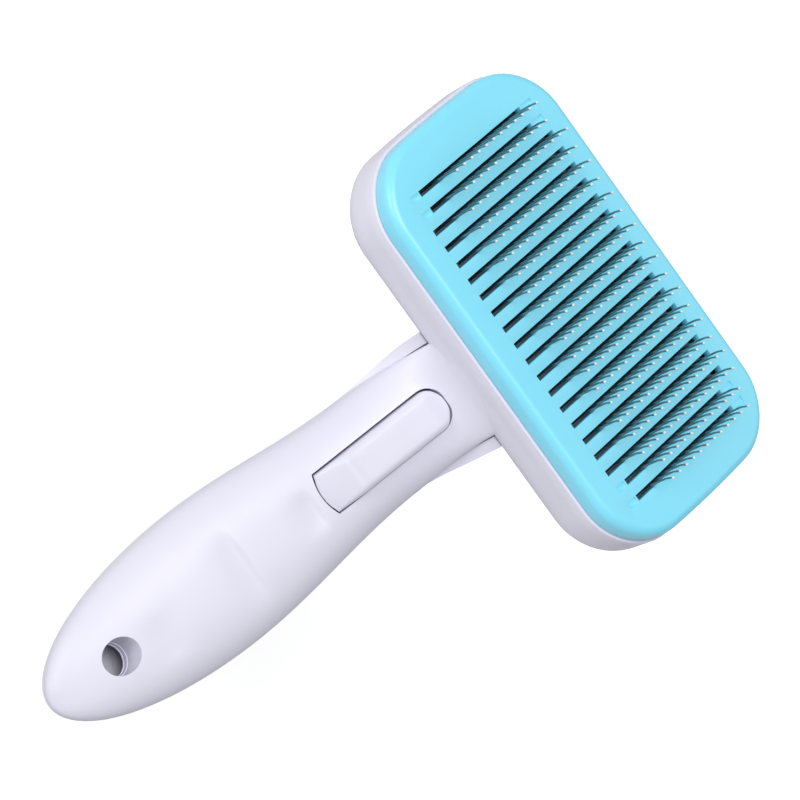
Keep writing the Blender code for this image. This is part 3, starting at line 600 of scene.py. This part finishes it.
# Screw lugs on the ledge, bosses inside the handle, and the hinge's two lugs
bm = bmesh.new()
for x, y in FACE_SCREWS:
    round_bar(bm, x, y, LEDGE_FOOT, LEDGE_TOP - 0.05, FACE_LUG)
shell_boss(bm, HOLE_Y, True, HOLE_BOSS, parting_z(HOLE_Y) + 1.2)
for y in HANDLE_SCREWS:
    shell_boss(bm, y, True, SCREW_BOSS)
for left, right in ((-LUG_FAR, -LUG_NEAR), (LUG_NEAR, LUG_FAR)):
    block(bm, (left, -73.8, -18.3), (right, -67.8, -12.4), LEAN_BACK)
work(front_shell, bm, "UNION")

# The button's window
bm = bmesh.new()
window = window_plan(WINDOW_GAP, WINDOW_ASIDE)
pull_along(bm, [[lean(x, s, q) for x, s in window] for q in (-14.0, -5.0)], closed=True)
bmesh.ops.holes_fill(bm, edges=bm.edges)
work(front_shell, bm, "DIFFERENCE")

# The hanging hole steps in twice on its way down to the parting line
hole_front = front_z(HOLE_Y, True, 0)
for radius, low in ((HOLE_RADIUS, -4.9), (3.85, -6.2), (3.7, -40)):
    bm = bmesh.new()
    round_bar(bm, 0, HOLE_Y, hole_front + low, hole_front + 6, radius, 48)
    work(front_shell, bm, "DIFFERENCE")

# Blind bores for the handle's screws and through bores for the face's
bm = bmesh.new()
for y in HANDLE_SCREWS:
    round_bar(bm, 0, y, -70, front_z(y, True, PILOT_SKIN), SCREW_PILOT, 16)
for x, y in FACE_SCREWS:
    round_bar(bm, x, y, -9, -3, FACE_BORE, 16)
work(front_shell, bm, "DIFFERENCE")

# The neck ends level with the wall's foot, where the cover seats, with a notch for the lever's arm
for low, high in (((-20, -27.4, -30), (20, -20, WALL_FOOT)),
                  ((-4.4, -28.4, WALL_FOOT - 0.2), (4.4, -25, WALL_FOOT + 1.2))):
    bm = bmesh.new()
    block(bm, low, high)
    work(front_shell, bm, "DIFFERENCE")
finish(front_shell, white_resin, "white_shell", "housing", "front_shell")

# ---------------------------------------------------------------- back shell
# Back half of the handle, the same white resin.  Two screws in deep round wells hold it on the
# front shell, and a collar round the hanging hole meets the front shell's collar.
SPLIT_Y = -46.0                # the back shell and the back cover meet on this plane
WELL_BOSS = 4.4                # radii of the screws' bosses, wells and bores
SCREW_WELL = 2.7
SHANK_BORE = 1.3
SCREW_SINK = 3.2               # the screws' heads sit this deep
SPRING_Y = -50.0
SPRING_BOSS = 3.7
SPRING_SEAT = 1.3              # the spring's seat stands this high over the wall
spring_floor = front_z(SPRING_Y, False, SHELL_WALL) + SPRING_SEAT
bm = bmesh.new()
grip_shell(bm, False, -40.0)
back_shell = new_piece("back_shell_moulding", bm)

bm = bmesh.new()
shell_boss(bm, HOLE_Y, False, HOLE_BOSS, front_z(HOLE_Y, False, SHELL_WALL) + 1.2)
for y in HANDLE_SCREWS:
    shell_boss(bm, y, False, WELL_BOSS)
shell_boss(bm, SPRING_Y, False, SPRING_BOSS, spring_floor)
work(back_shell, bm, "UNION")

# The hole and the screws' bores, then the screws' wells and the end at the split
bm = bmesh.new()
round_bar(bm, 0, HOLE_Y, FAR_BELOW, -40, HOLE_RADIUS, 48)
for y in HANDLE_SCREWS:
    round_bar(bm, 0, y, FAR_BELOW, -40, SHANK_BORE, 16)
work(back_shell, bm, "DIFFERENCE")
bm = bmesh.new()
for y in HANDLE_SCREWS:
    round_bar(bm, 0, y, FAR_BELOW, front_z(y, False, 0) + SCREW_SINK, SCREW_WELL)
block(bm, (-30, SPLIT_Y - GAP / 2, FAR_BELOW), (30, 10, 10))
work(back_shell, bm, "DIFFERENCE")
back_resin = resin("back_resin", WHITE, WHITE_SHADE, roughness=0.47, drift=24, grain=2400, relief=0.3)
finish(back_shell, back_resin, "white_shell", "housing", "back_shell")

# ---------------------------------------------------------------- back cover
# Flat lid over the back of the head, with a tongue that carries on as the back of the neck.
# It is screwed to nothing: it snaps on the pin board's four legs and travels with the pins.
LID_FOOT = WALL_FOOT - GAP
LID_BACK = -19.5
LID_FLOOR = -17.5
WING_TOP = -14.3               # the tongue's wings reach up beside the neck to here
BOARD_LEGS = [(x, y) for x in (-28.0, 28.0) for y in (-13.0, 13.0)]
LEG_SOCKET = 3.4               # outer and inner radius of the legs' sockets
LEG_BORE = 2.3
lid_profile = [(3.6, LID_FLOOR), (3.3, LID_FOOT), (1.4, LID_FOOT), (1.62, -17.28), (1.9, -17.65),
               (2.25, -17.99), (2.7, -18.33), (3.25, -18.65), (3.9, -18.92), (4.6, -19.15),
               (5.3, -19.31), (6.2, -19.43), (7.2, LID_BACK)]
bm = bmesh.new()
pull_along(bm, [head_ring(inset, z) for inset, z in lid_profile], closed=True)
bmesh.ops.holes_fill(bm, edges=bm.edges)
back_cover = new_piece("back_cover_moulding", bm)
bm = bmesh.new()
grip_shell(bm, False, -22.5, -60.0, lip=0.75)
work(back_cover, bm, "UNION")

# Sockets for the board's legs, and two ribs under the lever's cross bar
bm = bmesh.new()
for x, y in BOARD_LEGS:
    round_bar(bm, x, y, LID_FLOOR - 0.5, LID_FLOOR + 3.0, LEG_SOCKET)
for x in (-7.2, 7.2):
    block(bm, (x - 1, -10, LID_FLOOR - 0.5), (x + 1, 1, -14.0))
work(back_cover, bm, "UNION")
bm = bmesh.new()
for x, y in BOARD_LEGS:
    round_bar(bm, x, y, LID_FLOOR, LID_FLOOR + 5, LEG_BORE)
block(bm, (-30, -80, FAR_BELOW), (30, SPLIT_Y + GAP / 2, 10))
work(back_cover, bm, "DIFFERENCE")

# Room for the lever's arm, then for the front shell's neck and wall
bm = bmesh.new()
lever_room = [(-31, -13), (-31, -24.6), (-27, -22.3), (-22.5, -19.2), (-19, -17.5), (-14, -17.5),
              (-14, -13)]
pull_along(bm, [[(x, y, z) for y, z in lever_room] for x in (-6, 6)], closed=True)
bmesh.ops.holes_fill(bm, edges=bm.edges)
work(back_cover, bm, "DIFFERENCE")
for low, high in (((-30, -45.5, WING_TOP), (30, -15, -8)),
                  ((-30, -28.35, LID_FOOT), (30, -15, -13.3))):
    bm = bmesh.new()
    block(bm, low, high)
    work(back_cover, bm, "DIFFERENCE")
finish(back_cover, back_resin, "white_shell", "carrier", "back_cover")

# ---------------------------------------------------------------- face plate
# Shallow tray in satin blue resin with a round front edge.  Its slots are moulded through, and the
# short ones carry on as blind recesses.  Four screws from behind hold it down on the ledge.
SLOTS = 20
SLOT_PITCH = 4.2
SLOT_HALF = 0.7
LONG_SLOT = (-20.8, 20.9)
SHORT_SLOT = (-17.9, 17.2)
RECESS_DEPTH = 0.45
RECESS_BRIDGE = 0.5            # face left between a short slot and its recess
PLATE_THICK = 2.2
PLATE_SKIRT = 5.0              # depth of its turned-down rim
PLATE_INSET = 0.6              # the plate is this much smaller than the head all round
PLATE_INNER = 2.8              # inset of the rim's inner side
PLATE_EDGE = 2.0               # radius of its round front edge
BOSS_TOP = -1.1
PLATE_BOSS = 2.2               # radius of its screw bosses, and of their blind bores
PLATE_PILOT = 1.0
GUIDE_POSTS = [(x, y) for x in (-45.0, 45.0) for y in (-6.0, 6.0)]
GUIDE_RADIUS = 1.4
GUIDE_END = -13.6
plate_profile = [(PLATE_INNER, -PLATE_THICK), (PLATE_INNER, -PLATE_SKIRT), (PLATE_INSET, -PLATE_SKIRT)]
for step in range(9):
    angle = math.pi * (1 - step / 16)
    plate_profile.append((PLATE_INSET + PLATE_EDGE + PLATE_EDGE * math.cos(angle),
                          PLATE_EDGE * math.sin(angle) - PLATE_EDGE))


def slot_x(index):
    """Place of a slot along the head."""
    return (index - (SLOTS - 1) / 2) * SLOT_PITCH


def slot_is_short(index):
    """The two outer slots at each end are short."""
    return index in (0, 1, SLOTS - 2, SLOTS - 1)


bm = bmesh.new()
pull_along(bm, [head_ring(inset, z) for inset, z in plate_profile], closed=True)
bmesh.ops.holes_fill(bm, edges=bm.edges)
face_plate = new_piece("face_plate_moulding", bm)
bm = bmesh.new()
for index in range(SLOTS):
    x = slot_x(index)
    low, high = SHORT_SLOT if slot_is_short(index) else LONG_SLOT
    block(bm, (x - SLOT_HALF, low, -4), (x + SLOT_HALF, high, 1))
    if slot_is_short(index):
        for start, end in ((LONG_SLOT[0], low - RECESS_BRIDGE), (high + RECESS_BRIDGE, LONG_SLOT[1])):
            block(bm, (x - SLOT_HALF, start, -RECESS_DEPTH), (x + SLOT_HALF, end, 1))
work(face_plate, bm, "DIFFERENCE")
ease_edges(face_plate, 0.14)

# Behind the face: posts that the pin board slides on, and bosses for the screws
bm = bmesh.new()
for x, y in GUIDE_POSTS:
    round_bar(bm, x, y, GUIDE_END, BOSS_TOP, GUIDE_RADIUS)
for x, y in FACE_SCREWS:
    round_bar(bm, x, y, -PLATE_SKIRT, BOSS_TOP, PLATE_BOSS)
work(face_plate, bm, "UNION")
bm = bmesh.new()
for x, y in FACE_SCREWS:
    round_bar(bm, x, y, -6.0, -1.8, PLATE_PILOT, 16)
work(face_plate, bm, "DIFFERENCE")
blue_resin = resin("blue_resin", (0.255, 0.80, 0.99), (0.24, 0.775, 0.975),
                   roughness=0.38, drift=26, grain=2200, relief=0.35, coat=0.25)
finish(face_plate, blue_resin, "blue_face", "housing", "face_plate")

# ---------------------------------------------------------------- button
# Thumb button, the same white resin: flush and arched at the handle end, a ramp up to a flat pad,
# and a round head end.  It clips on the lever's platform and fills the neck's window.
BUTTON_FLUSH = -10.2           # q of its top where it is flush with the neck
BUTTON_BASE = -12.3
PAD_RISE = 3.3                 # the pad stands this far over the flush end
PAD_FALL = 1.2                 # and drops by this much at the head's end
PLATFORM_END = -41.5           # s where the lever's platform ends under it
TOE_RISE = 1.8                 # from there its underside rises over the lever's arm
RAMP_LENGTH = 8.0              # the ramp climbs straight up to its bend and eases into the pad
RAMP_SLOPE = 1.081
RAMP_BEND = 0.85
RAMP_EASE = 3.604
RIDGE_PLACE = 8.4              # a low ridge crosses the top of the ramp
RIDGE_HEIGHT = 0.18
bm = bmesh.new()
button_stations = [BUTTON_START + (BUTTON_END - BUTTON_START) * i / 60 for i in range(56)]
button_stations += [BUTTON_END - before for before in (2.5, 2.0, 1.5, 1.1, 0.75, 0.45, 0.2, 0.05, 0)]
sections = []
for s in button_stations:
    from_end = BUTTON_END - s
    half = BUTTON_HALF
    if from_end < BUTTON_CORNER:
        half -= BUTTON_CORNER - math.sqrt(max(BUTTON_CORNER ** 2 - (BUTTON_CORNER - from_end) ** 2, 0))
    along = min((s - BUTTON_START) / RAMP_LENGTH, 1.0)
    rise = RAMP_SLOPE * along if along < RAMP_BEND else 1 - RAMP_EASE * (1 - along) ** 2
    top = BUTTON_FLUSH + PAD_RISE * rise - PAD_FALL * ease((s - BUTTON_END + 4.5) / 5.2)
    top += RIDGE_HEIGHT * math.exp(-(s - BUTTON_START - RIDGE_PLACE) ** 2)
    base = BUTTON_BASE + TOE_RISE * ease((s - PLATFORM_END) / 2.5)
    edge = min(0.5 + 1.2 * rise, half * 0.5)
    section = [(half, base)]
    for step in range(9):
        turn = math.pi / 2 * step / 8
        section.append((half - edge + edge * math.cos(turn), top - edge + edge * math.sin(turn)))
    for part in (0.66, 0.33):
        section.append(((half - edge) * part, top))
    section += [(0, top)] + [(-x, q) for x, q in reversed(section)]
    arch = BUTTON_ARCH * (1 - rise)
    sections.append([lean(x, s + arch * (x / half) ** 2, q) for x, q in section])
pull_along(bm, sections, closed=True)
bmesh.ops.holes_fill(bm, edges=bm.edges)
button = new_piece("button_moulding", bm)
finish(button, white_resin, "white_shell", "lever", "button", smooth=40)

# ---------------------------------------------------------------- pins
# Bent steel wires with small pale resin balls on their tips, fixed by the foot in rows.
# They lean away from the handle up to the knee and back towards it above it.
WIRE = 0.225                   # radius of the wire
TIP_BALL = 0.36                # radius of the ball
FOOT_Z = -7.6
STRIP_TOP = -7.1               # the strip that holds a row's feet
KNEE_Z = 4.8
KNEE_EASE = 0.06               # the knee is drawn in by this much
TIP_Z = 8.62
PIN_TOP = 9.0
LOWER_LEAN = 0.19              # lean as change of y over change of height
UPPER_LEAN = -0.33
LONG_ROW = 14                  # pins in a row
SHORT_ROW = 12
PIN_STEP = 2.52
PIN_MIDDLE = 0.55              # y of the middle of a row, at the tips
PIN_STAGGER = 0.4


def wire_ring(x, y, z):
    """One ring of the wire, seven-sided."""
    return [(x + WIRE * math.cos(2 * math.pi * i / 7), y + WIRE * math.sin(2 * math.pi * i / 7), z)
            for i in range(7)]


def pin_feet(index):
    """Y of each foot in a row; neighbouring rows are staggered."""
    count = SHORT_ROW if slot_is_short(index) else LONG_ROW
    shift = PIN_STAGGER if index % 2 == 0 else -PIN_STAGGER
    middle = PIN_MIDDLE + shift - UPPER_LEAN * (PIN_TOP - KNEE_Z) - LOWER_LEAN * (KNEE_Z - STRIP_TOP)
    return [middle + (i - (count - 1) / 2) * PIN_STEP for i in range(count)]


def metal(name, colour, dark, roughness, across, along):
    """Drawn or turned steel: fine lines along one way, a darker film in patches."""
    material = bpy.data.materials.new(name)
    material.use_nodes = True
    tree = material.node_tree
    link = tree.links.new
    shader = tree.nodes["Principled BSDF"]
    shader.inputs["Metallic"].default_value = 1.0
    where = tree.nodes.new("ShaderNodeTexCoord")
    stretch = tree.nodes.new("ShaderNodeMapping")
    stretch.inputs["Scale"].default_value = (across, across, along)
    lines = tree.nodes.new("ShaderNodeTexNoise")
    lines.inputs["Scale"].default_value = 1.0
    lines.inputs["Detail"].default_value = 3
    film = tree.nodes.new("ShaderNodeTexNoise")
    film.inputs["Scale"].default_value = 120
    tone = tree.nodes.new("ShaderNodeMix")
    tone.data_type = "RGBA"
    tone.inputs["A"].default_value = (*colour, 1)
    tone.inputs["B"].default_value = (*dark, 1)
    gloss = tree.nodes.new("ShaderNodeMapRange")
    gloss.inputs["To Min"].default_value = roughness - 0.07
    gloss.inputs["To Max"].default_value = roughness + 0.12
    bump = tree.nodes.new("ShaderNodeBump")
    bump.inputs["Strength"].default_value = 0.2
    bump.inputs["Distance"].default_value = 0.00002
    link(where.outputs["Object"], stretch.inputs["Vector"])
    link(stretch.outputs["Vector"], lines.inputs["Vector"])
    link(where.outputs["Object"], film.inputs["Vector"])
    link(film.outputs["Fac"], tone.inputs["Factor"])
    link(tone.outputs["Result"], shader.inputs["Base Color"])
    link(lines.outputs["Fac"], gloss.inputs["Value"])
    link(gloss.outputs["Result"], shader.inputs["Roughness"])
    link(lines.outputs["Fac"], bump.inputs["Height"])
    link(bump.outputs["Normal"], shader.inputs["Normal"])
    return material


pin_wire = metal("pin_wire", (0.31, 0.36, 0.37), (0.15, 0.19, 0.20), roughness=0.26, across=2500, along=250)
tip_resin = resin("tip_resin", (0.80, 0.87, 0.88), (0.70, 0.80, 0.82),
                  roughness=0.16, drift=300, grain=3000, relief=0.1, coat=0.6)

knee_y = LOWER_LEAN * (KNEE_Z - STRIP_TOP)
pin_line = [(LOWER_LEAN * (FOOT_Z - STRIP_TOP), FOOT_Z)]
for z in (KNEE_Z - 0.9, KNEE_Z - 0.3, KNEE_Z + 0.3, KNEE_Z + 0.9, TIP_Z):
    straight = LOWER_LEAN * (z - STRIP_TOP) if z < KNEE_Z else knee_y + UPPER_LEAN * (z - KNEE_Z)
    eased = KNEE_EASE if abs(z - KNEE_Z) < 0.5 else 0.0
    pin_line.append((straight - eased, z))
for index in range(SLOTS):
    x = slot_x(index)
    feet = pin_feet(index)
    bm = bmesh.new()
    for foot in feet:
        pull_along(bm, [wire_ring(x, foot + y, z) for y, z in pin_line], closed=True)
    bmesh.ops.holes_fill(bm, edges=bm.edges)
    block(bm, (x - WIRE, feet[0] - 1, STRIP_TOP - 1), (x + WIRE, feet[-1] + 1, STRIP_TOP))
    steel_faces = len(bm.faces)
    for foot in feet:
        tip = Matrix.Translation((x, foot + pin_line[-1][0], TIP_Z + 0.1))
        bmesh.ops.create_uvsphere(bm, u_segments=8, v_segments=5, radius=TIP_BALL, matrix=tip)
    bm.faces.ensure_lookup_table()
    for face in bm.faces[steel_faces:]:
        face.material_index = 1
    row = new_piece(f"pins_{index + 1:02d}", bm)
    finish(row, pin_wire, "pin_steel", "carrier", f"pin_row_{index + 1:02d}", smooth=60)
    row.data.materials.append(tip_resin)

# ---------------------------------------------------------------- pad and board
# A dark foam-rubber pad lies on the white pin board, and each row of pins stands through it.
# The board is one resin moulding, and it slides on the face plate's posts.
rubber = resin("pad_rubber", (0.11, 0.165, 0.195), (0.08, 0.12, 0.145),
               roughness=0.72, drift=90, grain=1500, relief=0.9)
inner_resin = resin("inner_resin", (0.66, 0.66, 0.70), (0.60, 0.60, 0.64),
                    roughness=0.5, drift=40, grain=1500, relief=0.5)


def dress(node, material):
    """Give a CAD node its material."""
    for slot in bpy.data.objects[node].material_slots:
        slot.material = material


dress("pin_pad", rubber)
dress("pin_board", inner_resin)

# ---------------------------------------------------------------- return spring
# Compression spring wound from round spring steel.  It stands on a seat in the back shell under
# the lever's arm.
SPRING_WIRE = 0.35             # radius of the wire
SPRING_RADIUS = 3.0
SPRING_TOP = -35.8
SPRING_TURNS = 4.5
SPRING_STEPS = 72
spring_low = spring_floor + GAP + SPRING_WIRE
climb = (SPRING_TOP - SPRING_WIRE - spring_low) / SPRING_STEPS
wire_end = Matrix.Translation((SPRING_RADIUS, SPRING_Y, spring_low)) @ Matrix.Rotation(math.pi / 2, 4, "X")
bm = bmesh.new()
bmesh.ops.create_circle(bm, segments=8, radius=SPRING_WIRE, matrix=wire_end)
bmesh.ops.spin(bm, geom=list(bm.verts) + list(bm.edges), cent=(0, SPRING_Y, 0), axis=(0, 0, 1),
               dvec=(0, 0, climb), angle=2 * math.pi * SPRING_TURNS, steps=SPRING_STEPS,
               use_merge=False)
bmesh.ops.holes_fill(bm, edges=bm.edges)
coil = new_piece("coil_spring", bm)
spring_wire = metal("spring_wire", (0.52, 0.52, 0.54), (0.36, 0.36, 0.38),
                    roughness=0.3, across=900, along=900)
finish(coil, spring_wire, "spring_steel", "housing", "return_spring", smooth=60)
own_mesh(coil)

# ---------------------------------------------------------------- lever and fixings
# The lever is moulded in the same inner resin and turns on a ground steel pin.
# Small zinc-plated screws hold the face plate and the two shells.
dress("lever", inner_resin)
ground_steel = metal("ground_steel", (0.62, 0.62, 0.63), (0.5, 0.5, 0.51),
                     roughness=0.24, across=400, along=2500)
zinc = metal("zinc_plate", (0.60, 0.60, 0.60), (0.48, 0.48, 0.47),
             roughness=0.34, across=1500, along=1500)
dress("hinge_pin", ground_steel)
for node in ("face_screw_1", "face_screw_2", "face_screw_3", "face_screw_4",
             "handle_screw_1", "handle_screw_2"):
    dress(node, zinc)
